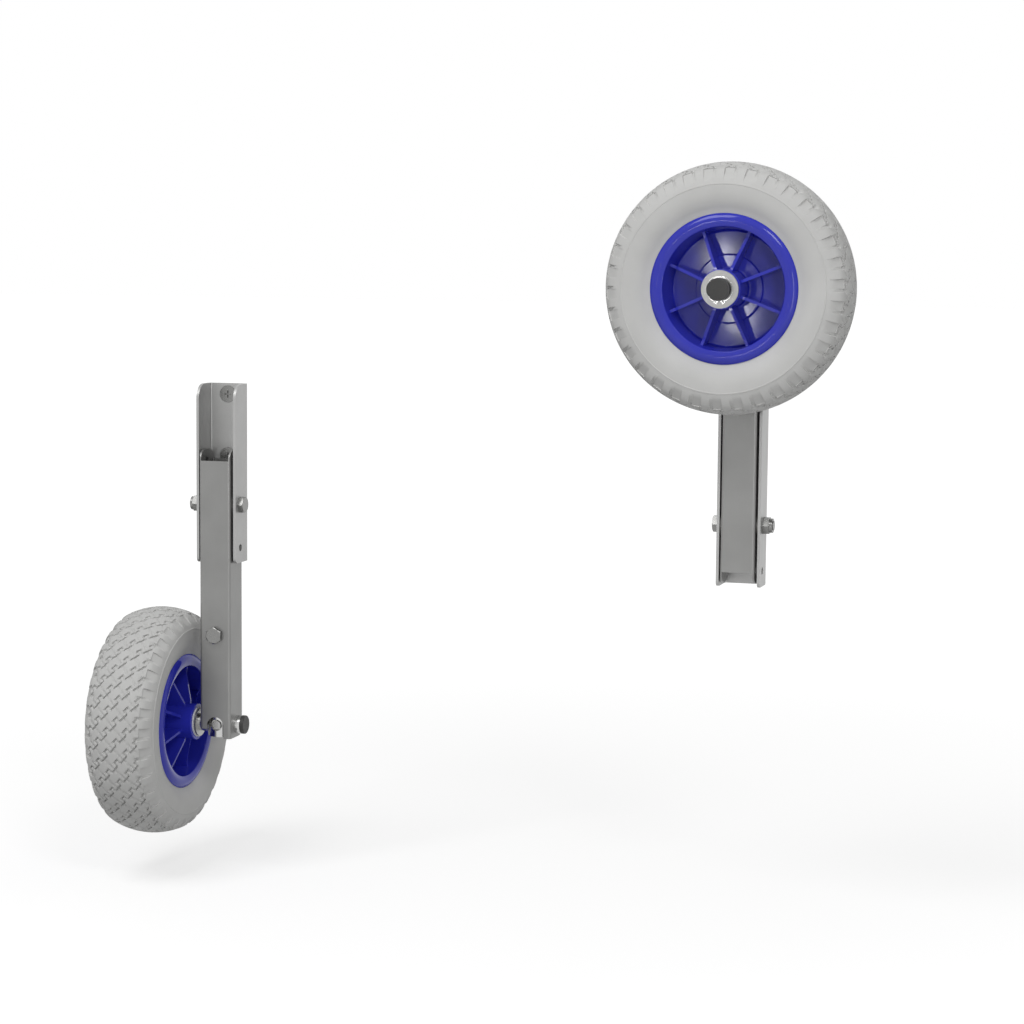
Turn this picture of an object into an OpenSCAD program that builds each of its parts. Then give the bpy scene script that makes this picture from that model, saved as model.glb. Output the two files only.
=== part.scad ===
// A pair of folding launching wheels. The port set stands down and ready to roll, and the starboard
// set is folded up with its wheel turned to lie flat.
// X runs to starboard, Y forward and Z up. The origin lies on the plane of the brackets' backs, midway
// between the two brackets and level with their middle screws.

/* [Pair] */
// Distance between the middles of the two brackets
pair_span = 600; // [420:10:1200]

/* [Bracket] */
// Thickness of the spacers between the leg and the bracket's flanges
spacer_t = 1.95; // [1:0.05:4]
// Depth of the bracket's flanges from its back face
bracket_d = 38; // [34:0.5:44]
// Thickness of the bracket's sheet
bracket_t = 3; // [2.5:0.1:3.5]
// Distance from the bracket's top to the middle of the post bolt when the leg is folded up
bracket_clear = 12; // [11:0.5:30]
// Length of the bracket below the pivot bolt
bracket_bottom = 66; // [60:1:75]
// Radius of the flanges' upper front corners
bracket_top_r = 17; // [8:1:24]
// Radius of the flanges' lower front corners
bracket_foot_r = 6; // [3:1:16]
// Outside radius of the bracket's two bends
bracket_bend_r = 4.5; // [4:0.5:6]

/* [Leg] */
// Outside width of the leg's square tube
leg_w = 37; // [35:0.5:39]
// Wall of the leg's tube
leg_t = 2; // [1.5:0.1:2.5]
// Outside radius of the tube's corners
leg_bend_r = 3; // [2.5:0.5:5]
// Distance from the pivot bolt to the wheel's axle
leg_reach = 252; // [240:1:320]
// Length of the leg's front and rear walls past the pivot bolt
leg_tail = 50; // [46:1:56]
// Height of the two ears that stand past those walls
ear_h = 12; // [9:1:16]
// Radius of the ears' corners
ear_r = 12; // [6:1:15]
// Length of the leg past the axle
leg_toe = 14.5; // [13:0.5:20]
// Length of the foot's wheel-side tongue below the axle
tongue_drop = 4; // [2:0.5:10]
// Gap between the leg and the bracket's back
leg_gap = 2.5; // [1.5:0.1:4]
// Travel of the leg along its slots, which frees it to fold
draw = 48; // [44:0.5:49]

/* [Fasteners] */
// Diameter of the pivot bolt
pivot_d = 10; // [8:1:10]
// Diameter of the holes for a safety pin
pin_hole_d = 8; // [5:0.5:8.5]
// Diameter of the countersunk screws
screw_d = 8; // [6:1:8]
// Diameter of the screws' heads
screw_head_d = 20; // [16:0.5:21]
// Distance of the top screw below the bracket's top
screw_inset = 12.5; // [11:0.5:30]
// Distance from one screw to the next
screw_pitch = 70.5; // [60:0.5:75]
// Length of a screw past the bracket's back face
screw_reach = 45; // [25:1:60]
// Diameter of the bolt that holds the swivel post
post_bolt_d = 10; // [8:1:10]
// Distance that bolt stands clear of the upper bush, measured from its boss
post_bolt_clear = 1; // [0.5:0.5:10]
// Height of that bolt's head, which faces the bracket when the leg is folded up
post_bolt_head_h = 5; // [4:0.1:5.3]
// Diameter of the cross bolt through the axle
cross_bolt_d = 6; // [5:1:6]

/* [Swivel] */
// Diameter of the swivel post
post_d = 22; // [20:0.5:24]
// Diameter of the post's head, which holds the axle
post_head_d = 30; // [28:0.5:31]
// Length of the post above the axle
post_len = 136; // [130:1:150]
// Length of each bush round the post
bush_len = 20; // [14:1:22]
// Diameter of the lock pin
lock_pin_d = 8; // [6:0.5:9]
// Diameter of the lock pin's collar
lock_collar_d = 20.5; // [16:0.5:22]

/* [Axle] */
// Diameter of the axle
axle_d = 20; // [18:0.5:20]
// Distance from the leg's middle to the wheel's middle
wheel_offset = 77.6; // [77.6:0.1:100]
// Length of the axle past the outer washer
axle_tip = 11.4; // [10:0.1:16]
// Diameter of the cap on the axle's end
axle_cap_d = 23; // [22:0.5:26]
// Diameter of the washer on the leg's side
inner_washer_d = 32; // [28:1:40]
// Diameter of the washer on the outer side
outer_washer_d = 38.5; // [34:0.5:46]
// Thickness of both washers
washer_t = 2; // [1.5:0.1:3]

/* [Wheel] */
// Diameter of the tyre
tyre_d = 260; // [250:1:270]
// Greatest width of the tyre
tyre_w = 83.5; // [80:0.5:86]
// Length of the hub
hub_len = 100; // [96:1:104]
// Diameter of the hub
hub_d = 41; // [38:0.5:46]
// Diameter over the rim's flanges
flange_d = 154; // [150:1:158]
// Width over the rim's flanges
flange_w = 74; // [70:1:76]
// Diameter of the seat that carries the tyre
seat_d = 132; // [130:1:136]
// Number of ribs on each side of the rim
rib_count = 8; // [5:1:10]
// Thickness of a rib
rib_t = 3; // [2.5:0.1:4]
// Number of lugs round each shoulder of the tyre
lug_count = 34; // [24:1:40]
// Width of the gaps between those lugs
lug_gap = 3.4; // [2:0.2:5]
// Depth of those gaps
lug_depth = 2.6; // [1.5:0.1:4]

/* [Hidden] */
$fn = 96;

port = -1;
starboard = 1;
steel = [0.66, 0.66, 0.65];
bright_steel = [0.78, 0.78, 0.78];
nylon = [0.88, 0.88, 0.84];
cap_black = [0.13, 0.13, 0.13];
rim_blue = [0.2, 0.22, 0.7];
tyre_grey = [0.74, 0.74, 0.73];

// Clearances between pieces that move on each other
slip = 0.3;
running_fit = 0.05;
// How far a cutting shape runs past what it cuts, and a shank into its head
over = 1;

// Hexagons are measured across their flats
hex_flats = 17;
hex_head_h = 6.4;
small_hex_flats = 10;
small_hex_h = 4;
boss_d = hex_flats + 1;
// The post stands this far out of its upper bush
post_end = 2;

// Places worked out from the sizes above
bracket_w = leg_w + 2 * (slip + spacer_t + bracket_t);
upper_bush_z = post_len - bush_len - post_end;
post_bolt_rise = upper_bush_z - post_bolt_clear - boss_d / 2;
bracket_top = leg_reach - post_bolt_rise - bracket_clear;
screw_top = bracket_top - screw_inset;
pivot_y = bracket_t + leg_gap + leg_w / 2;
leg_inner = leg_w - 2 * leg_t;
ear_top = leg_tail + ear_h;
slot_w = pivot_d + 2 * slip;
pin_hole_z = -(draw + slot_w / 2 - pin_hole_d / 2 - slip);
middle_screw_z = screw_top - screw_pitch;
screw_z = [screw_top, middle_screw_z, middle_screw_z - screw_pitch];
flange_inner_x = bracket_w / 2 - bracket_t;
hub_end = hub_len / 2;
washer_near = hub_end + slip;
washer_far = washer_near + washer_t;
axle_end = washer_far + axle_tip;

// The origin moves to the middle of a bracket's back face, level with the pivot bolt
module place(side) {
    translate([side * pair_span / 2, 0, -middle_screw_z])
        mirror([side > 0 ? 1 : 0, 0, 0]) children();
}

// The starboard leg is folded up about its pivot bolt
module on_leg(side) {
    place(side)
        translate([0, -pivot_y, 0]) rotate([side > 0 ? 180 : 0, 0, 0]) children();
}

// The origin moves to where the axle crosses the leg's middle line, and the starboard axle is turned
module on_swivel(side) {
    on_leg(side)
        translate([0, 0, -leg_reach]) rotate([0, 0, side > 0 ? -90 : 0]) children();
}

// The origin moves to the wheel's middle, with the axle along Z and its free end up
module on_wheel(side) {
    on_swivel(side) translate([-wheel_offset, 0, 0]) rotate([0, -90, 0]) children();
}

module along_x(length, d, from = 0) {
    translate([from, 0, 0]) rotate([0, 90, 0]) cylinder(h = length, d = d);
}

module along_y(length, d, from = 0) {
    translate([0, from, 0]) rotate([-90, 0, 0]) cylinder(h = length, d = d);
}

module tube_2d(outer, inner) {
    difference() {
        circle(d = outer);
        circle(d = inner);
    }
}

module ring(outer, inner, height) {
    linear_extrude(height) tube_2d(outer, inner);
}

module rounded_square(size, r) {
    square([size - 2 * r, size], center = true);
    square([size, size - 2 * r], center = true);
    for (x = [-1, 1], y = [-1, 1])
        translate([x, y] * (size / 2 - r)) circle(r = r);
}

// What a corner loses when it is rounded, with the corner at the origin and the shape toward +X and +Y
module corner_waste(r) {
    difference() {
        translate([-over, -over]) square(r + over);
        translate([r, r]) circle(r = r);
    }
}

module hexagon(flats, height) {
    rotate([0, 0, 30]) cylinder(h = height, d = flats / cos(30), $fn = 6);
}

// A hexagon whose outer edges are cut back as on a real bolt head
module chamfered_hexagon(flats, height) {
    intersection() {
        hexagon(flats, height);
        rotate_extrude() polygon([
            [0, 0], [flats / cos(30) / 2 + over, 0],
            [flats / cos(30) / 2 + over, height - 1.4 - over * tan(30)],
            [flats / 2 - 0.2, height], [0, height]
        ]);
    }
}

// The channel seen from above: a back and two flanges
module channel_2d() {
    bend = bracket_bend_r;
    inner_bend = bend - bracket_t;
    difference() {
        translate([-bracket_w / 2, -bracket_d]) square([bracket_w, bracket_d]);
        for (s = [0, 1]) mirror([s, 0])
            translate([bracket_w / 2, 0]) rotate(180) corner_waste(bend);
        translate([-flange_inner_x, -bracket_d - over])
            square([2 * flange_inner_x, bracket_d + over - bracket_t - inner_bend]);
        translate([-flange_inner_x + inner_bend, -bracket_t - inner_bend - over])
            square([2 * (flange_inner_x - inner_bend), inner_bend + over]);
        for (s = [-1, 1])
            translate([s * (flange_inner_x - inner_bend), -bracket_t - inner_bend]) circle(r = inner_bend);
    }
}

module bracket(side) {
    height = bracket_top + bracket_bottom;
    color(steel) place(side) difference() {
        translate([0, 0, -bracket_bottom]) linear_extrude(height) channel_2d();
        // Rounded front corners of both flanges
        rotate([90, 0, 90]) translate([0, 0, -bracket_w / 2 - over]) linear_extrude(bracket_w + 2 * over) {
            translate([-bracket_d, -bracket_bottom]) corner_waste(bracket_foot_r);
            translate([-bracket_d, bracket_top]) mirror([0, 1]) corner_waste(bracket_top_r);
        }
        translate([0, -pivot_y, 0]) along_x(bracket_w + 2 * over, pivot_d, -bracket_w / 2 - over);
        translate([0, -pivot_y, pin_hole_z])
            along_x(bracket_w + 2 * over, pin_hole_d, -bracket_w / 2 - over);
        for (z = screw_z) translate([0, 0, z]) rotate([90, 0, 0]) {
            translate([0, 0, -over]) cylinder(h = bracket_t + over, d = screw_d);
            cylinder(h = bracket_t, d1 = screw_d, d2 = screw_head_d);
            translate([0, 0, bracket_t - screw_rim_h]) cylinder(h = screw_rim_h + over, d = screw_head_d);
        }
    }
}

// The sink is cut straight for this depth, which leaves a fine gap round each head
screw_rim_h = 0.7;
screw_rim_gap = 0.4;

// Countersunk screws lie flush in the back of each bracket and run on past it
module bracket_screws() {
    rim_d = screw_head_d - 2 * screw_rim_gap;
    cone_r = screw_head_d / 2 - (screw_head_d - screw_d) / 2 * screw_rim_h / bracket_t;
    color(bright_steel) for (side = [port, starboard], z = screw_z)
        place(side) translate([0, -bracket_t, z]) rotate([-90, 0, 0]) difference() {
            rotate_extrude() polygon([
                [0, 0], [rim_d / 2, 0], [rim_d / 2, screw_rim_h], [cone_r, screw_rim_h], [screw_d / 2, bracket_t],
                [screw_d / 2, bracket_t + screw_reach - 1], [screw_d / 2 - 1, bracket_t + screw_reach],
                [0, bracket_t + screw_reach]
            ]);
            // Cross recess
            for (turn = [0, 90]) rotate([0, 0, turn])
                translate([-screw_d / 2, -0.8, -over]) cube([screw_d, 1.6, over + 2]);
        }
}

module pivot_bolt(side) {
    head_x = bracket_w / 2;
    tip_x = bracket_w / 2 + pivot_nut_h + pivot_nut_collar_h + 1;
    color(bright_steel) place(side) translate([0, -pivot_y, 0]) {
        translate([head_x, 0, 0]) rotate([0, 90, 0]) chamfered_hexagon(hex_flats, hex_head_h);
        along_x(head_x + tip_x + over, pivot_d, -tip_x);
    }
}

pivot_nut_h = 7.5;
pivot_nut_collar_h = 3.5;

// A locking nut: a hexagon with a round collar
module pivot_nut(side) {
    nut_h = pivot_nut_h;
    collar_h = pivot_nut_collar_h;
    collar_d = hex_flats - 1.6;
    color(bright_steel) place(side) translate([-bracket_w / 2, -pivot_y, 0]) rotate([0, -90, 0]) difference() {
        union() {
            hexagon(hex_flats, nut_h);
            cylinder(h = nut_h + collar_h, d = collar_d);
        }
        translate([0, 0, -over]) cylinder(h = nut_h + collar_h + 2 * over, d = pivot_d);
    }
}

module pivot_spacers(side) {
    spacer_d = 2 * pivot_d;
    color(nylon) place(side) for (s = [-1, 1])
        translate([s > 0 ? flange_inner_x - spacer_t : -flange_inner_x, -pivot_y, 0])
            rotate([0, 90, 0]) ring(spacer_d, pivot_d, spacer_t);
}

// Square tube with slots for the pivot bolt, ears past them and an open foot for the swivel
module leg(side) {
    tube_len = ear_top + leg_reach + leg_toe;
    swing = axle_d / 2 + 0.5;
    color(steel) on_leg(side) difference() {
        translate([0, 0, -leg_reach - leg_toe]) linear_extrude(tube_len) difference() {
            rounded_square(leg_w, leg_bend_r);
            rounded_square(leg_inner, leg_bend_r - leg_t);
        }
        // The front and rear walls stop short of the ears
        translate([-leg_inner / 2, -leg_w / 2 - over, leg_tail]) cube([leg_inner, leg_w + 2 * over, ear_h + over]);
        rotate([90, 0, 90]) translate([0, 0, -leg_w / 2 - over]) linear_extrude(leg_w + 2 * over) {
            for (s = [0, 1]) mirror([s, 0])
                translate([-leg_w / 2, ear_top]) mirror([0, 1]) corner_waste(ear_r);
            translate([leg_w / 2, -leg_reach - leg_toe]) mirror([1, 0]) corner_waste(ear_r);
        }
        // Slots that let the leg draw out along the pivot bolt
        along_x(leg_w + 2 * over, slot_w, -leg_w / 2 - over);
        translate([0, 0, draw]) along_x(leg_w + 2 * over, slot_w, -leg_w / 2 - over);
        translate([-leg_w / 2 - over, -slot_w / 2, 0]) cube([leg_w + 2 * over, slot_w, draw]);
        translate([0, 0, pin_hole_z]) along_x(leg_w + 2 * over, pin_hole_d, -leg_w / 2 - over);
        translate([0, 0, post_bolt_rise - leg_reach]) along_y(leg_t + 2 * over, post_bolt_d, -leg_w / 2 - over);
        translate([0, 0, -leg_reach]) {
            // Notch in the front wall, over the cross bolt
            along_y(leg_t + 2 * over, axle_d, -leg_w / 2 - over);
            translate([-axle_d / 2, -leg_w / 2 - over, -leg_toe - over])
                cube([axle_d, leg_t + 2 * over, leg_toe + over]);
            // The wheel-side tongue of the front wall ends just under the axle
            translate([-leg_w / 2 - over, -leg_w / 2 - over, -leg_toe - over])
                cube([leg_w / 2 + over, leg_w / 2 + over, leg_toe + over - tongue_drop]);
            // Quarter of the foot that the axle swings through
            along_x(leg_w / 2 + over, 2 * swing, -leg_w / 2 - over);
            along_y(leg_w / 2 + over, 2 * swing);
            translate([-leg_w / 2 - over, -swing, -leg_toe - over])
                cube([leg_w / 2 + over, leg_w / 2 + swing + over, leg_toe + over]);
            translate([-leg_w / 2 - over, 0, -leg_toe - over])
                cube([leg_w / 2 + swing + over, leg_w / 2 + over, leg_toe + over]);
            translate([-leg_w / 2 - over, 0, -leg_toe])
                cube([leg_w / 2 + over, leg_w / 2 + over, leg_toe + swing]);
            along_x(leg_t + 2 * over, lock_pin_d + 2 * running_fit, leg_w / 2 - leg_t - over);
        }
    }
}

// The bolt's tip runs in a groove of the post, so that the post turns but stays in the leg
module post_bolt(side) {
    tip_y = post_groove_r + slip;
    color(bright_steel) on_leg(side) translate([0, -leg_w / 2, post_bolt_rise - leg_reach]) {
        rotate([90, 0, 0]) chamfered_hexagon(hex_flats, post_bolt_head_h);
        along_y(leg_w / 2 - tip_y, post_bolt_d);
    }
}

module post_bolt_boss(side) {
    boss_h = leg_inner / 2 - post_d / 2 - 1;
    color(steel) on_leg(side)
        translate([0, -leg_inner / 2, post_bolt_rise - leg_reach]) rotate([-90, 0, 0])
            ring(boss_d, post_bolt_d, boss_h);
}

post_groove_r = 7;
post_groove_h = post_bolt_d + 2 * slip;
head_top = axle_d / 2 + 1.5;
lower_bush_z = head_top + slip;

module bush(side, z) {
    color(nylon) on_leg(side) translate([0, 0, z - leg_reach]) linear_extrude(bush_len) difference() {
        rounded_square(leg_inner, leg_bend_r - leg_t);
        circle(d = post_d + 2 * running_fit);
    }
}

module lock_guide(side) {
    color(bright_steel) on_leg(side) translate([leg_w / 2, 0, -leg_reach]) rotate([0, 90, 0])
        ring(lock_collar_d, lock_pin_d + 2 * running_fit, lock_ring_h);
}

lock_ring_h = 3.5;
lock_groove_depth = 3;
lock_pin_tip = post_head_d / 2 - lock_groove_depth + slip;
lock_collar_x = leg_w / 2 + lock_ring_h + slip;
lock_cap_h = 4.6;
lock_stem_h = 3;

module lock_pin(side) {
    color(bright_steel) on_leg(side) translate([0, 0, -leg_reach]) {
        along_x(lock_collar_x - lock_pin_tip + over, lock_pin_d, lock_pin_tip);
        along_x(lock_ring_h, lock_collar_d, lock_collar_x);
        along_x(lock_stem_h + over, lock_pin_d, lock_collar_x + lock_ring_h - over);
    }
}

module lock_cap(side) {
    round_r = 1.2;
    cap_r = lock_collar_d / 2 + 0.3;
    color(cap_black) on_leg(side)
        translate([lock_collar_x + lock_ring_h, 0, -leg_reach]) rotate([0, 90, 0]) difference() {
            rotate_extrude() {
                square([cap_r, lock_cap_h - round_r]);
                square([cap_r - round_r, lock_cap_h]);
                translate([cap_r - round_r, lock_cap_h - round_r]) circle(r = round_r, $fn = 32);
            }
            translate([0, 0, -over]) cylinder(h = lock_stem_h + over, d = lock_pin_d);
        }
}

module swivel_post(side) {
    foot = leg_toe - 1;
    socket_end = 5;
    pocket_y = axle_d / 2 + 0.5;
    groove_h = lock_pin_d + 2 * slip;
    groove_r = post_head_d / 2 - lock_groove_depth;
    color(bright_steel) on_swivel(side) difference() {
        union() {
            translate([0, 0, -foot]) cylinder(h = foot + head_top, d = post_head_d);
            cylinder(h = post_len, d = post_d);
        }
        // Groove for the bolt that holds the post
        translate([0, 0, post_bolt_rise - post_groove_h / 2]) difference() {
            cylinder(h = post_groove_h, d = post_d + over);
            translate([0, 0, -over]) cylinder(h = post_groove_h + 2 * over, r = post_groove_r);
        }
        // Socket for the axle, and the cross bolt with its pocket
        along_x(post_head_d + socket_end, axle_d, -post_head_d);
        along_y(post_head_d, cross_bolt_d, -post_head_d / 2);
        along_y(post_head_d / 2, small_hex_flats / cos(30) + 1.5, -pocket_y - post_head_d / 2);
        // Quarter groove in which the lock pin runs, and which stops the swivel at each end
        rotate_extrude(angle = 90) translate([groove_r, -groove_h / 2]) square([post_head_d, groove_h]);
        for (turn = [0, 90]) rotate([0, 0, turn])
            along_x(post_head_d, groove_h, groove_r);
    }
}

module cross_bolt(side) {
    head_y = axle_d / 2 + 0.5;
    color(bright_steel) on_swivel(side) {
        translate([0, -head_y, 0]) rotate([90, 0, 0]) chamfered_hexagon(small_hex_flats, small_hex_h);
        along_y(head_y + post_groove_r + 4, cross_bolt_d, -head_y);
    }
}

circlip_t = 1.5;
circlip_r = axle_d / 2 - 0.6;

module axle(side) {
    socket_end = 5;
    cap_depth = 3;
    color(bright_steel) on_swivel(side) difference() {
        along_x(wheel_offset + axle_end - cap_depth + socket_end, axle_d, -(wheel_offset + axle_end - cap_depth));
        along_y(axle_d + 2 * over, cross_bolt_d, -axle_d / 2 - over);
        // Groove for the circlip
        translate([-(wheel_offset + washer_far + slip + circlip_t), 0, 0]) rotate([0, 90, 0])
            ring(axle_d + over, 2 * circlip_r, circlip_t);
    }
}

module axle_washer(side, d, from) {
    color(bright_steel) on_wheel(side) translate([0, 0, from]) ring(d, axle_d, washer_t);
}

// A snap ring with two eyes, open at the side that hangs down when the wheel is stowed
module circlip(side) {
    ring_d = axle_d + 7;
    eye_r = 2.4;
    gap = 3;
    color(bright_steel) on_wheel(side) translate([0, 0, washer_far + slip]) linear_extrude(circlip_t) difference() {
        union() {
            tube_2d(ring_d, 2 * circlip_r);
            for (s = [-1, 1]) translate([circlip_r + eye_r + 0.6, s * (gap / 2 + eye_r - 0.2)]) circle(r = eye_r);
        }
        translate([0, -gap / 2]) square([ring_d, gap]);
        for (s = [-1, 1]) translate([circlip_r + eye_r + 0.8, s * (gap / 2 + eye_r)]) circle(d = 2);
    }
}

module axle_cap(side) {
    round_r = 1;
    cap_h = 6;
    cap_r = axle_cap_d / 2;
    cap_depth = 3;
    color(cap_black) on_wheel(side) translate([0, 0, axle_end - cap_h + over]) difference() {
        rotate_extrude() {
            square([cap_r, cap_h - round_r]);
            square([cap_r - round_r, cap_h]);
            translate([cap_r - round_r, cap_h - round_r]) circle(r = round_r, $fn = 32);
        }
        translate([0, 0, -over]) cylinder(h = cap_h - over - cap_depth + over, d = axle_d);
    }
}

rim_web_t = 5;
bearing_d = 28;
bearing_len = 22;
bearing_flange_d = 34;
bearing_flange_t = 1.6;
rim_bore_d = 24;
lip_r = seat_d / 2 - 2.5;
dish_r = seat_d / 2 - 6;
web_step_r = 35;
web_step_h = 3.5;
rib_rim_z = 25;
rib_hub_z = 36;
rim_half_w = flange_w / 2;
rim_lip_t = 3.4;

// Inside radius of the rim's dished wall at a height above the middle plane
function dish_at(z) =
    dish_r + (lip_r - dish_r) * (z - rim_web_t / 2) / (rim_half_w - rim_lip_t / 2 - rim_web_t / 2);

// The rim's cross-section for one side, from its middle plane outward
module rim_half_2d() {
    half_w = rim_half_w;
    lip_t = rim_lip_t;
    // Hub
    translate([rim_bore_d / 2, 0]) square([(hub_d - rim_bore_d) / 2, hub_end - bearing_len]);
    translate([bearing_d / 2, hub_end - bearing_len - over])
        square([(hub_d - bearing_d) / 2, bearing_len + over - bearing_flange_t]);
    // Web, thicker round the hub
    translate([rim_bore_d / 2 + over, 0]) square([seat_d / 2 - rim_bore_d / 2 - 2 * over, rim_web_t / 2]);
    translate([rim_bore_d / 2 + over, 0]) square([web_step_r - rim_bore_d / 2 - over, rim_web_t / 2 + web_step_h]);
    // Dished wall, tyre seat and flange with a rounded lip
    polygon([
        [dish_r, 0], [dish_r, rim_web_t / 2], [lip_r, half_w - lip_t / 2], [lip_r, half_w],
        [flange_d / 2 - lip_t / 2, half_w], [flange_d / 2 - lip_t / 2, half_w - lip_t],
        [seat_d / 2, half_w - lip_t], [seat_d / 2, 0]
    ]);
    translate([flange_d / 2 - lip_t / 2, half_w - lip_t / 2]) circle(d = lip_t);
}

module rim(side) {
    color(rim_blue) on_wheel(side) for (s = [0, 1]) mirror([0, 0, s]) rotate_extrude() rim_half_2d();
}

// Ribs between the hub and the dished wall, on both faces of the web
module rim_ribs(side) {
    web_z = rim_web_t / 2;
    step_z = web_z + web_step_h;
    fit = 0.03;
    color(rim_blue) on_wheel(side) for (i = [0 : rib_count - 1], s = [0, 1])
        rotate([0, 0, (i + 0.5) * 360 / rib_count]) mirror([0, 0, s])
            rotate([90, 0, 0]) translate([0, 0, -rib_t / 2]) linear_extrude(rib_t) polygon([
                [hub_d / 2, step_z], [hub_d / 2, rib_hub_z], [hub_d / 2 + 3, rib_hub_z],
                [dish_r - 4, rib_rim_z], [dish_at(rib_rim_z) - fit, rib_rim_z], [dish_at(web_z) - fit, web_z],
                [web_step_r, web_z], [web_step_r, step_z]
            ]);
}

module hub_bushes(side) {
    color(nylon) on_wheel(side) for (s = [0, 1]) mirror([0, 0, s]) rotate_extrude() {
        bore_r = axle_d / 2 + running_fit;
        translate([bore_r, hub_end - bearing_len]) square([bearing_d / 2 - bore_r, bearing_len]);
        translate([bore_r, hub_end - bearing_flange_t])
            square([bearing_flange_d / 2 - bore_r, bearing_flange_t]);
    }
}

wall_r = 34;
shoulder_r = 12;
crown_bend_r = 75;
crown_r = tyre_d / 2;
bulge_r = crown_r - 30;
wall_centre = [bulge_r, tyre_w / 2 - wall_r];
crown_centre = [crown_r - crown_bend_r, 0];

// Where two circles cross, on the side of the larger Z: each is a centre and a radius
function crossing(a, ra, b, rb) =
    let (d = norm(b - a), u = (b - a) / d, t = (d * d + ra * ra - rb * rb) / (2 * d), h = sqrt(ra * ra - t * t))
    let (p = a + t * u + h * [-u[1], u[0]], q = a + t * u - h * [-u[1], u[0]]) p[1] > q[1] ? p : q;

// The shoulder's circle touches the wall's and the crown's from inside
shoulder_centre = crossing(wall_centre, wall_r - shoulder_r, crown_centre, crown_bend_r - shoulder_r);
crown_edge = crown_centre + crown_bend_r * (shoulder_centre - crown_centre) / norm(shoulder_centre - crown_centre);
wall_edge = wall_centre + wall_r * (shoulder_centre - wall_centre) / norm(shoulder_centre - wall_centre);

// The tyre's cross-section for one side: curved crown, round shoulder and bulged wall down to the bead
module tyre_half_2d() {
    bead_z = flange_w / 2 - 3.6;
    difference() {
        union() {
            translate([seat_d / 2, 0]) square([bulge_r - seat_d / 2, bead_z]);
            intersection() {
                translate(crown_centre) circle(r = crown_bend_r, $fn = 180);
                translate([bulge_r - over, 0]) square([crown_r, crown_edge[1]]);
            }
            translate(shoulder_centre) circle(r = shoulder_r);
            intersection() {
                translate(wall_centre) circle(r = wall_r, $fn = 128);
                translate([flange_d / 2 + 0.6, 0]) square([wall_edge[0] - flange_d / 2 - 0.6, tyre_w]);
            }
        }
        translate([0, -tyre_w]) square([crown_r, tyre_w]);
    }
}

// Gaps between the lugs of both shoulders
module lug_gaps() {
    gap_l = 1.7 * shoulder_r;
    gap_lean = 38;
    for (i = [0 : lug_count - 1], s = [0, 1]) rotate([0, 0, (i + 0.5) * 360 / lug_count]) mirror([0, 0, s])
        translate([shoulder_centre[0], 0, shoulder_centre[1]]) rotate([0, -gap_lean, 0])
            translate([shoulder_r - lug_depth, -lug_gap / 2, -gap_l / 2])
                cube([lug_depth + shoulder_r, lug_gap, gap_l]);
}

module tyre(side) {
    color(tyre_grey) on_wheel(side) difference() {
        for (s = [0, 1]) mirror([0, 0, s]) rotate_extrude() tyre_half_2d();
        lug_gaps();
    }
}

bracket_screws();

bracket(port);  // port_bracket
pivot_bolt(port);  // port_pivot_bolt
pivot_nut(port);  // port_pivot_nut
pivot_spacers(port);  // port_pivot_spacers
leg(port);  // port_leg
post_bolt(port);  // port_post_bolt
post_bolt_boss(port);  // port_post_bolt_boss
bush(port, upper_bush_z);  // port_upper_bush
bush(port, lower_bush_z);  // port_lower_bush
lock_guide(port);  // port_lock_guide
lock_pin(port);  // port_lock_pin
lock_cap(port);  // port_lock_cap
swivel_post(port);  // port_swivel_post
cross_bolt(port);  // port_cross_bolt
axle(port);  // port_axle
axle_washer(port, inner_washer_d, -washer_far);  // port_inner_washer
axle_washer(port, outer_washer_d, washer_near);  // port_outer_washer
circlip(port);  // port_circlip
axle_cap(port);  // port_axle_cap
rim(port);  // port_rim
rim_ribs(port);  // port_rim_ribs
hub_bushes(port);  // port_hub_bushes
tyre(port);  // port_tyre

bracket(starboard);  // starboard_bracket
pivot_bolt(starboard);  // starboard_pivot_bolt
pivot_nut(starboard);  // starboard_pivot_nut
pivot_spacers(starboard);  // starboard_pivot_spacers
leg(starboard);  // starboard_leg
post_bolt(starboard);  // starboard_post_bolt
post_bolt_boss(starboard);  // starboard_post_bolt_boss
bush(starboard, upper_bush_z);  // starboard_upper_bush
bush(starboard, lower_bush_z);  // starboard_lower_bush
lock_guide(starboard);  // starboard_lock_guide
lock_pin(starboard);  // starboard_lock_pin
lock_cap(starboard);  // starboard_lock_cap
swivel_post(starboard);  // starboard_swivel_post
cross_bolt(starboard);  // starboard_cross_bolt
axle(starboard);  // starboard_axle
axle_washer(starboard, inner_washer_d, -washer_far);  // starboard_inner_washer
axle_washer(starboard, outer_washer_d, washer_near);  // starboard_outer_washer
circlip(starboard);  // starboard_circlip
axle_cap(starboard);  // starboard_axle_cap
rim(starboard);  // starboard_rim
rim_ribs(starboard);  // starboard_rim_ribs
hub_bushes(starboard);  // starboard_hub_bushes
tyre(starboard);  // starboard_tyre
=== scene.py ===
"""Looks for a pair of folding launching wheels: treaded tyres, brushed steel, blue rims and black caps."""

import math

import bpy
import numpy as np
from mathutils import Matrix, Vector


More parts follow.
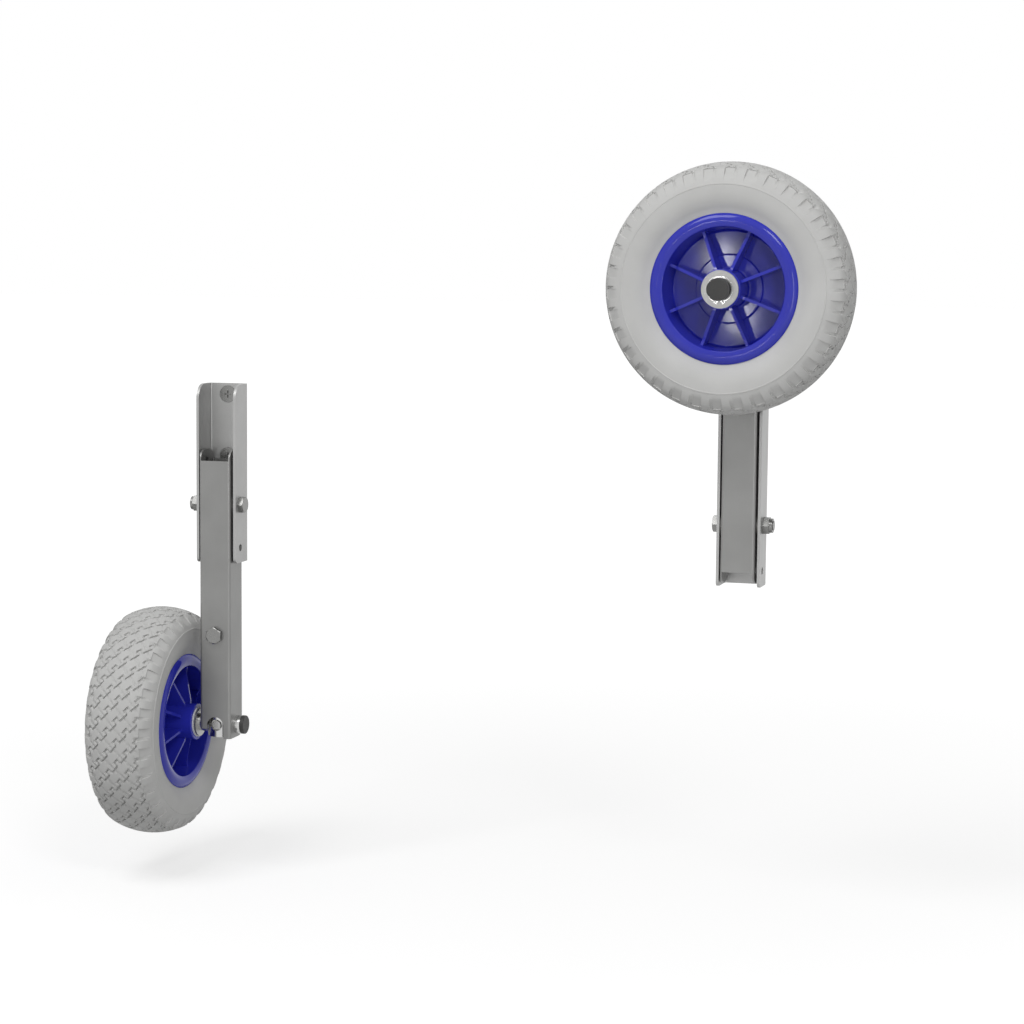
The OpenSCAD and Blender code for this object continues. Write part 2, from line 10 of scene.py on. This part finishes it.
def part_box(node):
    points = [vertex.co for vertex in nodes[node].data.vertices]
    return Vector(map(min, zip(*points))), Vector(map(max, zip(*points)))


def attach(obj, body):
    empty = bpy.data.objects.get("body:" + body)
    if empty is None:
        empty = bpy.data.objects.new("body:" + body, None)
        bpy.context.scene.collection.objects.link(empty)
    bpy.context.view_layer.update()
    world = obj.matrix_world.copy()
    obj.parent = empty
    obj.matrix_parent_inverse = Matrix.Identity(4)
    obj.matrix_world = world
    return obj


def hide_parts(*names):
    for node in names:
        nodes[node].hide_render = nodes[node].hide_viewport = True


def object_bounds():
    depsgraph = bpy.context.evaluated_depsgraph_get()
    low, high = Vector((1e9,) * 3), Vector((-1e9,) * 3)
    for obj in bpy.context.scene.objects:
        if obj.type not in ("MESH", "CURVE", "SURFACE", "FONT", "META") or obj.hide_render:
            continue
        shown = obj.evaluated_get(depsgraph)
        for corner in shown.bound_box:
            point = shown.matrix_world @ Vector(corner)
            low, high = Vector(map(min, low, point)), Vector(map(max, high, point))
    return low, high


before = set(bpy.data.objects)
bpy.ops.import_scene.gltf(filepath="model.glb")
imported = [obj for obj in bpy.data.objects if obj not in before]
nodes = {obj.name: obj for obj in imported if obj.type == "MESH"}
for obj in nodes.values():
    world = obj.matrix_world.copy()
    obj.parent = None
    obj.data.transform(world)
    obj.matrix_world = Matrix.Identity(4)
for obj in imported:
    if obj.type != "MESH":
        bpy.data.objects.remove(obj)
cad_low, cad_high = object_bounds()

SIDES = ("port", "starboard")


# Camera

PHOTO_PX = 1024
FOCAL_PX = 2589.0
SENSOR_MM = 36.0
CAMERA_AT = (0.85007, -2.72967, 0.23996)
CAMERA_TURN = math.radians(16.58)
CAMERA_DOWN = math.radians(5.85)
CAMERA_ROLL = math.radians(0.51)
CAMERA_REACH = 50


def aim_camera():
    """The camera looks along +Y, turned left by CAMERA_TURN and down by CAMERA_DOWN, and rolled by
    CAMERA_ROLL about the line that it looks along."""
    ahead = Vector((-math.sin(CAMERA_TURN) * math.cos(CAMERA_DOWN),
                    math.cos(CAMERA_TURN) * math.cos(CAMERA_DOWN),
                    -math.sin(CAMERA_DOWN)))
    level = Vector((math.cos(CAMERA_TURN), math.sin(CAMERA_TURN), 0))
    above = level.cross(ahead)
    right = math.cos(CAMERA_ROLL) * level + math.sin(CAMERA_ROLL) * above
    up = right.cross(ahead)
    data = bpy.data.cameras.new("camera")
    data.sensor_width = SENSOR_MM
    data.lens = FOCAL_PX / PHOTO_PX * SENSOR_MM
    data.clip_end = CAMERA_REACH
    camera = bpy.data.objects.new("camera", data)
    bpy.context.scene.collection.objects.link(camera)
    turn = Matrix((right, up, -ahead)).transposed().to_4x4()
    camera.matrix_world = Matrix.Translation(CAMERA_AT) @ turn
    bpy.context.scene.camera = camera


# Light

WORLD_FILL = 0.32
# Each lamp has a place, a width, a height and a power in watts. The glints light patches on the rim's web.
LAMPS = {
    "key": ((-0.9, -2.3, 3.1), 1.8, 1.8, 58),
    "side": ((1.5, -2.4, 2.1), 0.8, 0.8, 17),
    "strip": ((1.6, -2.3, 0.1), 0.3, 1.0, 7),
    "upper_glint": ((-0.27, -2.73, 0.22), 0.045, 0.06, 0.26),
    "lower_glint": ((-0.228, -2.73, 0.103), 0.045, 0.06, 0.26),
}


def shows_background(tree):
    """The largest of three values: 1 for what the camera, a mirror or a glass sees directly, and 0 for light
    that falls on things."""
    path = tree.nodes.new("ShaderNodeLightPath")
    seen = path.outputs["Is Camera Ray"]
    for ray in ("Is Glossy Ray", "Is Transmission Ray"):
        larger = tree.nodes.new("ShaderNodeMath")
        larger.operation = "MAXIMUM"
        tree.links.new(seen, larger.inputs[0])
        tree.links.new(path.outputs[ray], larger.inputs[1])
        seen = larger.outputs[0]
    return seen


def light_world():
    """A white surround that gives a weaker, even light."""
    world = bpy.data.worlds.new("studio")
    bpy.context.scene.world = world
    world.use_nodes = True
    tree = world.node_tree
    background = tree.nodes["Background"]
    background.inputs["Color"].default_value = (1, 1, 1, 1)
    strength = tree.nodes.new("ShaderNodeMapRange")
    strength.inputs["To Min"].default_value = WORLD_FILL
    strength.inputs["To Max"].default_value = 1.0
    tree.links.new(shows_background(tree), strength.inputs["Value"])
    tree.links.new(strength.outputs[0], background.inputs["Strength"])


def add_lamp(name):
    """A soft box that faces the middle of the object."""
    at, wide, tall, watts = LAMPS[name]
    data = bpy.data.lights.new(name, "AREA")
    data.shape = "RECTANGLE"
    data.size = wide
    data.size_y = tall
    data.energy = watts
    lamp = bpy.data.objects.new(name, data)
    bpy.context.scene.collection.objects.link(lamp)
    middle = (cad_low + cad_high) / 2
    lamp.location = at
    lamp.rotation_euler = (middle - Vector(at)).to_track_quat("-Z", "Y").to_euler()


# Parts of materials

def new_material(name):
    """An empty node tree with its output, and the means to add and join nodes."""
    material = bpy.data.materials.new(name)
    material.use_nodes = True
    tree = material.node_tree
    tree.nodes.clear()
    output = tree.nodes.new("ShaderNodeOutputMaterial")
    return material, tree, output


def noise(tree, coordinates, scale, stretch):
    """Noise on Object coordinates, drawn out along one axis where stretch is small."""
    mapping = tree.nodes.new("ShaderNodeMapping")
    mapping.inputs["Scale"].default_value = stretch
    texture = tree.nodes.new("ShaderNodeTexNoise")
    texture.inputs["Scale"].default_value = scale
    texture.inputs["Detail"].default_value = NOISE_DETAIL
    tree.links.new(coordinates, mapping.inputs["Vector"])
    tree.links.new(mapping.outputs[0], texture.inputs["Vector"])
    return texture.outputs["Fac"]


def between(tree, value, low, high, start, end):
    """The value, spread from low at start to high at end."""
    spread = tree.nodes.new("ShaderNodeMapRange")
    for name, number in (("From Min", start), ("From Max", end), ("To Min", low), ("To Max", high)):
        spread.inputs[name].default_value = number
    tree.links.new(value, spread.inputs["Value"])
    return spread.outputs[0]


def two_tones(tree, value, dark, light):
    """Two colours mixed by noise."""
    mix = tree.nodes.new("ShaderNodeMix")
    mix.data_type = "RGBA"
    mix.inputs["A"].default_value = (*dark, 1)
    mix.inputs["B"].default_value = (*light, 1)
    tree.links.new(between(tree, value, 0, 1, *NOISE_SPAN), mix.inputs["Factor"])
    return mix.outputs["Result"]


def relief(tree, height, distance):
    """A bump from a height."""
    bump = tree.nodes.new("ShaderNodeBump")
    bump.inputs["Distance"].default_value = distance
    bump.inputs["Strength"].default_value = RELIEF_STRENGTH
    tree.links.new(height, bump.inputs["Height"])
    return bump.outputs[0]


# Floor

FLOOR_SIZE = 60.0
FLOOR_GREY = 0.55
LEG_DRAW, FLOOR_GAP = 0.048, 0.0005
GLOW_NEAR, GLOW_FAR = 0.62, 0.9
GLOW_START, GLOW_END = 0.6, 3.0


def lay_floor():
    """A white floor that keeps the object's shadow and fades into the surround. It lies as far down as the
    lower wheel goes when its leg is drawn out. Its glow grows with the distance from the object."""
    data = bpy.data.meshes.new("floor")
    half = FLOOR_SIZE / 2
    z = cad_low.z - LEG_DRAW - FLOOR_GAP
    corners = [(-half, -half, z), (half, -half, z), (half, half, z), (-half, half, z)]
    data.from_pydata(corners, [], [(0, 1, 2, 3)])
    floor = bpy.data.objects.new("floor", data)
    bpy.context.scene.collection.objects.link(floor)
    material, tree, output = new_material("pale_floor")
    plain = tree.nodes.new("ShaderNodeBsdfDiffuse")
    plain.inputs["Color"].default_value = (FLOOR_GREY, FLOOR_GREY, FLOOR_GREY, 1)
    glow = tree.nodes.new("ShaderNodeEmission")
    away = tree.nodes.new("ShaderNodeVectorMath")
    away.operation = "LENGTH"
    tree.links.new(tree.nodes.new("ShaderNodeTexCoord").outputs["Object"], away.inputs[0])
    strength = between(tree, away.outputs["Value"], GLOW_NEAR, GLOW_FAR, GLOW_START, GLOW_END)
    tree.links.new(strength, glow.inputs["Strength"])
    both = tree.nodes.new("ShaderNodeAddShader")
    tree.links.new(plain.outputs[0], both.inputs[0])
    tree.links.new(glow.outputs[0], both.inputs[1])
    choice = tree.nodes.new("ShaderNodeMixShader")
    tree.links.new(shows_background(tree), choice.inputs[0])
    tree.links.new(plain.outputs[0], choice.inputs[1])
    tree.links.new(both.outputs[0], choice.inputs[2])
    tree.links.new(choice.outputs[0], output.inputs["Surface"])
    data.materials.append(material)


# Finishes

NOISE_DETAIL = 3.0
NOISE_SPAN = (0.3, 0.7)
RELIEF_STRENGTH = 0.6
TONE_SCALE = 22.0
ALONG_Z = (1, 1, 0.02)
EVEN = (1, 1, 1)


def finish(name, dark, light, rough, metallic, grain, shine=0.5):
    """A surface with two close tones, an uneven gloss and a fine relief. Rough is the least and the most
    roughness, grain is (scale, stretch, bump distance), and shine is how strongly a surface that isn't metal
    reflects."""
    material, tree, output = new_material(name)
    shader = tree.nodes.new("ShaderNodeBsdfPrincipled")
    tree.links.new(shader.outputs[0], output.inputs["Surface"])
    where = tree.nodes.new("ShaderNodeTexCoord").outputs["Object"]
    scale, stretch, depth = grain
    broad = noise(tree, where, TONE_SCALE, EVEN)
    fine = noise(tree, where, scale, stretch)
    tree.links.new(two_tones(tree, broad, dark, light), shader.inputs["Base Color"])
    tree.links.new(between(tree, fine, *rough, *NOISE_SPAN), shader.inputs["Roughness"])
    tree.links.new(relief(tree, fine, depth), shader.inputs["Normal"])
    shader.inputs["Metallic"].default_value = metallic
    shader.inputs["Specular IOR Level"].default_value = shine
    return material


SHEET = finish("brushed_stainless", (0.42, 0.42, 0.415), (0.46, 0.46, 0.455), (0.34, 0.44), 0.55,
               (2600.0, ALONG_Z, 0.00003))
TUBE = finish("satin_tube", (0.25, 0.25, 0.245), (0.28, 0.28, 0.275), (0.32, 0.42), 0.65,
              (2600.0, ALONG_Z, 0.00003))
BRIGHT = finish("bright_stainless", (0.50, 0.50, 0.495), (0.58, 0.58, 0.575), (0.14, 0.26), 1.0,
                (900.0, EVEN, 0.00002))
PLAIN = finish("plain_stainless", (0.22, 0.22, 0.215), (0.26, 0.26, 0.255), (0.24, 0.36), 1.0,
               (900.0, EVEN, 0.00003))
WASHER = finish("turned_stainless", (0.33, 0.33, 0.325), (0.38, 0.38, 0.375), (0.26, 0.38), 1.0,
                (1400.0, EVEN, 0.00003))
NYLON = finish("white_nylon", (0.72, 0.72, 0.68), (0.80, 0.80, 0.77), (0.42, 0.55), 0.0,
               (700.0, EVEN, 0.00003))
BLACK = finish("black_cap", (0.022, 0.022, 0.022), (0.035, 0.035, 0.034), (0.42, 0.6), 0.0,
               (1500.0, EVEN, 0.00006))
BLUE = finish("blue_rim", (0.026, 0.032, 0.45), (0.032, 0.040, 0.50), (0.05, 0.08), 0.0,
              (240.0, EVEN, 0.000003), 0.3)
TYRE = finish("grey_tyre", (0.585, 0.585, 0.575), (0.635, 0.635, 0.625), (0.62, 0.78), 0.0,
              (1800.0, EVEN, 0.00008))

LOOKS = {
    "bracket": SHEET, "post_bolt_boss": SHEET, "leg": TUBE,
    "bracket_screws": PLAIN, "pivot_bolt": PLAIN, "pivot_nut": PLAIN, "post_bolt": PLAIN,
    "lock_guide": BRIGHT, "lock_pin": BRIGHT, "swivel_post": BRIGHT, "cross_bolt": BRIGHT,
    "axle": BRIGHT, "circlip": BRIGHT, "inner_washer": WASHER, "outer_washer": WASHER,
    "pivot_spacers": NYLON, "upper_bush": NYLON, "lower_bush": NYLON, "hub_bushes": NYLON,
    "lock_cap": BLACK, "axle_cap": BLACK,
    "rim": BLUE, "rim_ribs": BLUE, "tyre": TYRE,
}
CAD_EDGE = math.radians(28)


def dress(name, node):
    """Gives a CAD node its finish and soft shading over its curves."""
    key = name
    for side in SIDES:
        key = key.removeprefix(side + "_")
    node.data.materials.clear()
    node.data.materials.append(LOOKS[key])
    edges = node.modifiers.new("edges", "EDGE_SPLIT")
    edges.split_angle = CAD_EDGE
    node.data.shade_smooth()


# Meshes turned about the axle

def closed_grid(count, rows):
    """The faces between count lines of rows points each, closed both ways."""
    index = np.arange(count * rows).reshape(count, rows)
    beyond = np.roll(index, -1, axis=0)
    corners = [index, np.roll(index, -1, axis=1), np.roll(beyond, -1, axis=1), beyond]
    return np.stack(corners, 2).reshape(-1, 4)


def axle_frame(side):
    """The wheel's middle, and the direction of the axle's free end."""
    low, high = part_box(f"{side}_tyre")
    middle = (low + high) / 2
    free = Vector((-1, 0, 0)) if side == "port" else Vector((0, -1, 0))
    return middle, free


def place_on_axle(side, name, points, faces):
    """A mesh given about +Z is put round the wheel's axle, in the place where its CAD node is."""
    middle, free = axle_frame(side)
    start = Vector((0, 0, 1))
    turn = np.array(Matrix((start, free.cross(start), free)).transposed())
    placed = points @ turn.T + np.array(middle)
    data = bpy.data.meshes.new(name)
    data.from_pydata(placed, [], faces.tolist())
    data.update()
    piece = bpy.data.objects.new(name, data)
    bpy.context.scene.collection.objects.link(piece)
    return piece


# Tyres

LUGS = 34
TYRE_R = 0.130
SEAT_R = 0.066
BEAD_R, BEAD_Z = 0.0776, 0.0334
WALL_AT, WALL_R = (0.100, 0.00775), 0.034
CROWN_AT, CROWN_R = (0.055, 0.0), 0.075
SHOULDER_AT, SHOULDER_R = (0.11245, 0.02586), 0.012
CROWN_TURN = math.atan2(SHOULDER_AT[1] - CROWN_AT[1], SHOULDER_AT[0] - CROWN_AT[0])
WALL_TURN = math.atan2(SHOULDER_AT[1] - WALL_AT[1], SHOULDER_AT[0] - WALL_AT[0])
BEAD_TURN = math.pi - math.acos((WALL_AT[0] - BEAD_R) / WALL_R)
RING_R, RING_HALF, RING_HIGH = 0.1065, 0.0009, 0.0004
RING_FLAT = 0.6
CROWN_POINTS, SHOULDER_POINTS, WALL_POINTS = 42, 6, 5
SHOULDER_START = 0.025
TYRE_EDGE = math.radians(38)

GROOVE_DEPTH, GROOVE_HALF, GROOVE_SLOPE = 0.0028, 0.00080, 0.0003
GROOVE_STEP = 1 / 3
CROSS_SHARE, JOINT_SHARE = 0.28, 0.4
BLOCK_LONG, BLOCK_WIDE = 2 * math.pi * TYRE_R / LUGS, 0.023
BLOCK_SHIFT = 0.0025
CROWN_MARGIN = 0.0004
MOST_SPACE = 0.10

# Each plane has a lean, a depth under the shoulder's arc and half a width.
GAP_PLANE = (math.radians(38), 0.0026, 0.0102)
RECESS_PLANE = (math.radians(48), 0.0021, 0.016)
GAP_MIDDLE, GAP_HALF, GAP_SLOPE = 0.5, 0.0017, 0.0003
RECESS_MIDDLE, RECESS_HALF, RECESS_SLOPE = 0.205, 0.225, 0.012


def section():
    """Half of the tyre's cross-section as radius and height, from the middle of the tread to the bead: arcs
    of the crown's, the shoulder's and the wall's circles, which touch one another, and a fine raised ring on
    the wall."""
    crown = np.linspace(0, CROWN_TURN, CROWN_POINTS)
    shoulder = np.linspace(CROWN_TURN, WALL_TURN, SHOULDER_POINTS)[1:]
    shoulder = np.concatenate([[CROWN_TURN + SHOULDER_START], shoulder])
    ring_turn = math.acos((RING_R - WALL_AT[0]) / WALL_R)
    ring = ring_turn + np.array([-1, -RING_FLAT, RING_FLAT, 1]) * RING_HALF / WALL_R
    upper = np.linspace(WALL_TURN, ring[0], WALL_POINTS)[1:-1]
    lower = np.linspace(ring[-1], BEAD_TURN, WALL_POINTS)[1:]
    wall = np.concatenate([upper, ring, lower])
    arcs = [(CROWN_AT, CROWN_R, crown), (SHOULDER_AT, SHOULDER_R, shoulder), (WALL_AT, WALL_R, wall)]
    points = [np.stack([at[0] + r * np.cos(t), at[1] + r * np.sin(t)], 1) for at, r, t in arcs]
    points = np.concatenate(points)
    raised = len(crown) + len(shoulder) + len(upper) + np.array([1, 2])
    points[raised] += RING_HIGH * (points[raised] - WALL_AT) / WALL_R
    return np.concatenate([points, [(SEAT_R, BEAD_Z)]])


def near(x, middle, half, slope):
    """1 where x lies within half of middle plus any whole number, falling to 0 over slope."""
    gap = np.abs(x - middle - np.round(x - middle))
    return np.clip((half + slope - gap) / slope, 0, 1)


def inside(x, start, stop):
    """1 where the fraction of x lies between start and stop."""
    return ((x - start) % 1.0 < (stop - start)).astype(float)


def groove_widths():
    """Half a groove's width and the width of its wall, in blocks measured straight across the groove."""
    scale = math.hypot(1 / BLOCK_LONG, 1 / BLOCK_WIDE)
    return GROOVE_HALF * scale, GROOVE_SLOPE * scale


def tread_grooves(one, other):
    """1 in a groove and 0 on a block. One and other count blocks along the tread's two slanting directions.
    A groove of the first set follows a whole number of one, and for a third of every block it steps aside by
    a third. The grooves of the second set are straight, and they and the joints of the steps have a share of
    the depth."""
    half, slope = groove_widths()
    stepped = inside(other, GROOVE_STEP, 2 * GROOVE_STEP)
    first = near(one, 0.0, half, slope) * (1 - stepped) + near(one, -GROOVE_STEP, half, slope) * stepped
    joint = np.maximum(near(other, GROOVE_STEP, half, slope), near(other, 2 * GROOVE_STEP, half, slope))
    joint = JOINT_SHARE * joint * inside(one, 1 - GROOVE_STEP - half, 1 + half)
    return np.maximum(np.maximum(first, CROSS_SHARE * near(other, 0.0, half, slope)), joint)


def edge_shear():
    """How far the grid's cross lines lean from the middle of the tread to its two edges, in pitches."""
    edge = CROWN_R * CROWN_TURN
    return (-edge - BLOCK_SHIFT) / BLOCK_WIDE, (edge - BLOCK_SHIFT) / BLOCK_WIDE


def turns():
    """Places round one lug pitch, as values of one, that lie on the walls of the grooves, of both sides'
    gaps and of both sides' recesses, and halfway across each space that is wider than MOST_SPACE."""
    half, slope = groove_widths()
    both_walls = (-half - slope, -half, half, half + slope)
    walls = [at + offset for at in (0.0, -GROOVE_STEP) for offset in both_walls]
    half, slope = GAP_HALF / BLOCK_LONG, GAP_SLOPE / BLOCK_LONG
    both_walls = (-half - slope, -half, half, half + slope)
    for shear in edge_shear():
        walls += [GAP_MIDDLE + shear + offset for offset in both_walls]
        walls += [RECESS_MIDDLE - RECESS_HALF + shear + offset for offset in (-RECESS_SLOPE, 0)]
    walls = np.sort(np.mod(walls, 1.0))
    spaces = np.diff(np.append(walls, walls[0] + 1))
    middles = [walls[k] + space / 2 for k, space in enumerate(spaces) if space > MOST_SPACE]
    return np.sort(np.mod(np.concatenate([walls, middles]), 1.0))


def shoulder_cut(points, face, lean, deep, reach):
    """How far each point of the section lies above a plane across the shoulder, which leans by lean and lies
    deep under the shoulder's arc, and the direction straight into that plane. Reach is half the width of the
    cut."""
    out = np.array([math.cos(lean), face * math.sin(lean)])
    along = np.array([-math.sin(lean), face * math.cos(lean)])
    from_middle = points - np.array([SHOULDER_AT[0], face * SHOULDER_AT[1]])
    within = (np.abs(from_middle @ along) <= reach) & (face * points[:, 1] > 0)
    return np.where(within, np.maximum(from_middle @ out - (SHOULDER_R - deep), 0), 0), -out


def build_tyre(side):
    """A closed surface: the cross-section turned about the axle. The cross lines lean along one set of
    grooves, the tread's depth is taken along the surface's own normal, and the shoulders' gaps and recesses
    are cut down to a plane."""
    half = section()
    points = np.concatenate([half[:0:-1] * (1, -1), half])
    slope = np.stack([np.gradient(points[:, 1]), -np.gradient(points[:, 0])], 1)
    normal = slope / np.linalg.norm(slope, axis=1, keepdims=True)
    run = np.concatenate([[0], np.cumsum(np.linalg.norm(np.diff(points, axis=0), axis=1))])
    run -= run[len(run) // 2]
    edge = CROWN_R * CROWN_TURN
    across = -run - BLOCK_SHIFT
    lean = np.clip(-run, -edge, edge) / BLOCK_WIDE - BLOCK_SHIFT / BLOCK_WIDE
    one = (np.arange(LUGS)[:, None] + turns()[None, :]).reshape(-1, 1)
    along = one - lean[None, :]
    other = along - across[None, :] / BLOCK_WIDE
    on_crown = np.abs(run) <= edge - CROWN_MARGIN
    groove = tread_grooves(np.broadcast_to(one, other.shape), other) * on_crown
    shift = -GROOVE_DEPTH * groove[:, :, None] * normal[None, :, :]
    gap = near(along, GAP_MIDDLE, GAP_HALF / BLOCK_LONG, GAP_SLOPE / BLOCK_LONG)
    recess = near(along, RECESS_MIDDLE, RECESS_HALF, RECESS_SLOPE) * (np.abs(run) > edge)
    cut = np.linalg.norm(shift, axis=2)
    for face in (-1, 1):
        for mask, plane in ((recess, RECESS_PLANE), (gap, GAP_PLANE)):
            depth, inward = shoulder_cut(points, face, *plane)
            deeper = mask * depth > cut
            cut = np.where(deeper, mask * depth, cut)
            shift = np.where(deeper[:, :, None], (mask * depth)[:, :, None] * inward, shift)
    placed = points[None, :, :] + shift
    angle = -2 * math.pi * along / LUGS
    r, z = placed[:, :, 0], placed[:, :, 1]
    cloud = np.stack([r * np.cos(angle), r * np.sin(angle), z], 2)
    return place_on_axle(side, f"{side}_treaded_tyre", cloud.reshape(-1, 3), closed_grid(*angle.shape))


def add_tyre(side):
    """The treaded tyre rides on its wheel and stands for the CAD tyre."""
    piece = build_tyre(side)
    piece.data.shade_smooth()
    piece.data.set_sharp_from_angle(angle=TYRE_EDGE)
    piece.data.materials.append(TYRE)
    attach(piece, f"{side}_wheel")
    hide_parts(f"{side}_tyre")


# Rims

HUB_R, HUB_BORE_R, BEARING_R = 0.0205, 0.012, 0.014
HUB_END, BEARING_Z = 0.0484, 0.028
WEB_Z, STEP_R, STEP_Z = 0.0025, 0.035, 0.006
DISH_R, LIP_INNER_R = 0.060, 0.0635
LIP_R, FLANGE_R, FLANGE_Z, LIP_BACK_Z = 0.010, 0.077, 0.037, 0.0336
BAND_SLOPE = math.radians(15)
BORE_BEND, EDGE_BEND, HUB_BEND = 0.0005, 0.0008, 0.0022
STEP_BEND, DISH_BEND, BAND_BEND = 0.0012, 0.0020, 0.0014
BEND_POINTS, LIP_POINTS = 7, 14
EDGE_STEP = 0.0002
RIM_STEPS = 160
SMALLEST = 1e-9
RIM_EDGE = math.radians(50)


def rounded(corners):
    """A line through corners of radius, height and bend, where each bend is an arc that touches both of its
    sides, and has one more point a short step beyond each end, which keeps the shading of the flat stretches
    flat."""
    corners = np.array(corners)
    line = [corners[:1, :2]]
    for before, corner, after in zip(corners[:-2], corners[1:-1], corners[2:]):
        back = (before - corner)[:2] / np.linalg.norm((before - corner)[:2])
        on = (after - corner)[:2] / np.linalg.norm((after - corner)[:2])
        half = math.acos(np.clip(back @ on, -1, 1)) / 2
        middle = corner[:2] + (back + on) / np.linalg.norm(back + on) * corner[2] / math.sin(half)
        first = corner[:2] + back * corner[2] / math.tan(half)
        last = corner[:2] + on * corner[2] / math.tan(half)
        share = np.linspace(0, 1, BEND_POINTS)[:, None]
        spread = (1 - share) * (first - middle) + share * (last - middle)
        length = np.linalg.norm(spread, axis=1, keepdims=True)
        arc = middle + spread / np.maximum(length, SMALLEST) * corner[2]
        line.append(np.concatenate([[first + back * EDGE_STEP], arc, [last + on * EDGE_STEP]]))
    line.append(corners[-1:, :2])
    return np.concatenate(line)


def rim_section():
    """Half of the rim's cross-section, from its bore past the hub, the web, the dished wall and the lip to
    the tyre's seat. The lip is an arc from its back edge over its crest, and a band slopes from the arc to
    the dished wall."""
    back_turn = math.asin((LIP_BACK_Z - FLANGE_Z + LIP_R) / LIP_R)
    lip_at = np.array([FLANGE_R - LIP_R * math.cos(back_turn), FLANGE_Z - LIP_R])
    lip_turn = np.linspace(math.pi / 2 + BAND_SLOPE, back_turn, LIP_POINTS)
    lip = lip_at + LIP_R * np.stack([np.cos(lip_turn), np.sin(lip_turn)], 1)
    band_z = lip[0, 1] - (lip[0, 0] - LIP_INNER_R) * math.tan(BAND_SLOPE)
    inner = rounded([
        (HUB_BORE_R, 0, 0),
        (HUB_BORE_R, BEARING_Z, BORE_BEND),
        (BEARING_R, BEARING_Z, BORE_BEND),
        (BEARING_R, HUB_END, BORE_BEND),
        (HUB_R, HUB_END, EDGE_BEND),
        (HUB_R, STEP_Z, HUB_BEND),
        (STEP_R, STEP_Z, EDGE_BEND),
        (STEP_R, WEB_Z, STEP_BEND),
        (DISH_R, WEB_Z, DISH_BEND),
        (LIP_INNER_R, band_z, BAND_BEND),
        (*lip[0], 0),
    ])
    return np.concatenate([inner[:-1], lip, [(SEAT_R, LIP_BACK_Z), (SEAT_R, 0)]])


def build_rim(side):
    """The rim's section and its mirror image make one closed line, which is turned about the axle."""
    half = rim_section()
    loop = np.concatenate([half, (half * (1, -1))[-2:0:-1]])
    turn = np.linspace(0, 2 * math.pi, RIM_STEPS, endpoint=False)[:, None]
    cloud = np.stack([loop[:, 0] * np.cos(turn), loop[:, 0] * np.sin(turn), loop[:, 1] + 0 * turn], 2)
    faces = closed_grid(RIM_STEPS, len(loop))[:, ::-1]
    return place_on_axle(side, f"{side}_moulded_rim", cloud.reshape(-1, 3), faces)


def add_rim(side):
    """The moulded rim rides on its wheel and stands for the CAD rim. The ribs stay CAD nodes."""
    piece = build_rim(side)
    piece.data.shade_smooth()
    piece.data.set_sharp_from_angle(angle=RIM_EDGE)
    piece.data.materials.append(BLUE)
    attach(piece, f"{side}_wheel")
    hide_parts(f"{side}_rim")


# The scene

aim_camera()
light_world()
lay_floor()
for lamp_name in LAMPS:
    add_lamp(lamp_name)
for node_name, node_object in nodes.items():
    dress(node_name, node_object)
for wheel_side in SIDES:
    add_tyre(wheel_side)
    add_rim(wheel_side)

bpy.context.scene.view_settings.view_transform = "Standard"
